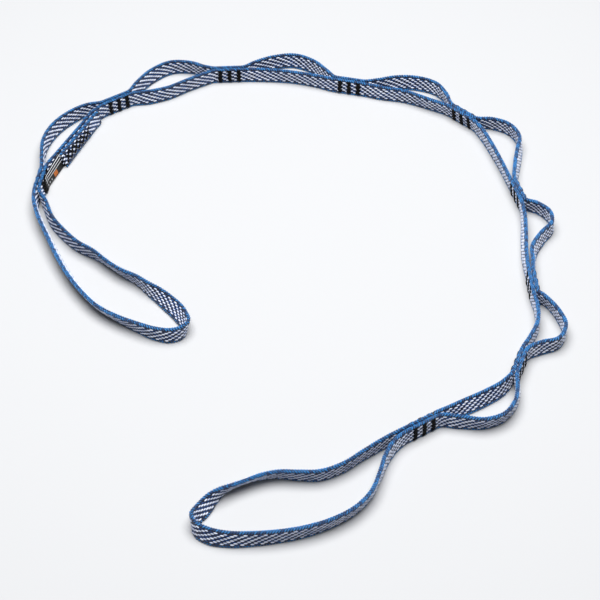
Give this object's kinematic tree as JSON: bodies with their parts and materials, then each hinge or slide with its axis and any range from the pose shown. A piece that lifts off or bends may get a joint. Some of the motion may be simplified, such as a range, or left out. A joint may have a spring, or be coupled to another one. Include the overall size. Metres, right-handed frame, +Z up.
{
  "type": "daisy chain sling",
  "caption": "Flat woven sling lying on edge in a loose C, sewn to itself at bar-tacked stations with small pockets between them and a large eye at each end.",
  "frame": {"origin": "on the surface the sling lies on, under the middle of its outline", "axes": "+Z up, across the web, which stands on edge; +Y towards the back of the C from the right eye's end; +X towards the side with pockets 5 to 7"},
  "size_m": [0.3653, 0.4646, 0.0128],
  "materials": {
    "web": "woven, white and navy with bright blue edges",
    "thread": "dense matte black stitching",
    "label": "satin woven label with pale lines and an orange patch"
  },
  "bodies": {
    "left_eye": {"left_eye_web": "web"},
    "link_1": {"inner_web_1": "web", "outer_web_1": "web", "bar_tacks_1": "thread", "splice_lap": "web", "splice_stitching": "thread", "label": "label", "label_stitching": "thread"},
    "link_2": {"inner_web_2": "web", "outer_web_2": "web", "bar_tacks_2": "thread"},
    "link_3": {"inner_web_3": "web", "outer_web_3": "web", "bar_tacks_3": "thread"},
    "link_4": {"inner_web_4": "web", "outer_web_4": "web", "bar_tacks_4": "thread"},
    "link_5": {"inner_web_5": "web", "outer_web_5": "web", "bar_tacks_5": "thread"},
    "link_6": {"inner_web_6": "web", "outer_web_6": "web", "bar_tacks_6": "thread"},
    "link_7": {"inner_web_7": "web", "outer_web_7": "web", "bar_tacks_7": "thread"},
    "link_8": {"inner_web_8": "web", "outer_web_8": "web", "bar_tacks_8": "thread"},
    "right_eye": {"right_eye_web": "web", "bar_tacks_9": "thread"}
  },
  "joints": [
    {"name": "fold_1", "type": "hinge", "parent": "link_1", "child": "left_eye", "pos_m": [-0.17918, 0.08237, 0.006], "axis": [0, 0, -1], "range_deg": [-15, 15]},
    {"name": "fold_2", "type": "hinge", "parent": "link_2", "child": "link_1", "pos_m": [-0.13814, 0.17372, 0.006], "axis": [0, 0, 1], "range_deg": [-15, 15]},
    {"name": "fold_3", "type": "hinge", "parent": "link_3", "child": "link_2", "pos_m": [-0.05769, 0.21249, 0.006], "axis": [0, 0, -1], "range_deg": [-15, 15]},
    {"name": "fold_4", "type": "hinge", "parent": "link_4", "child": "link_3", "pos_m": [0.03255, 0.20118, 0.006], "axis": [0, 0, 1], "range_deg": [-15, 15]},
    {"name": "fold_5", "type": "hinge", "parent": "link_4", "child": "link_5", "pos_m": [0.11791, 0.16962, 0.006], "axis": [0, 0, 1], "range_deg": [-15, 15]},
    {"name": "fold_6", "type": "hinge", "parent": "link_5", "child": "link_6", "pos_m": [0.15649, 0.08737, 0.006], "axis": [0, 0, -1], "range_deg": [-15, 15]},
    {"name": "fold_7", "type": "hinge", "parent": "link_6", "child": "link_7", "pos_m": [0.16132, -0.00332, 0.006], "axis": [0, 0, 1], "range_deg": [-15, 15]},
    {"name": "fold_8", "type": "hinge", "parent": "link_7", "child": "link_8", "pos_m": [0.15032, -0.07888, 0.006], "axis": [0, 0, -1], "range_deg": [-15, 15]},
    {"name": "fold_9", "type": "hinge", "parent": "link_8", "child": "right_eye", "pos_m": [0.09014, -0.13472, 0.006], "axis": [0, 0, 1], "range_deg": [-15, 15]}
  ]
}
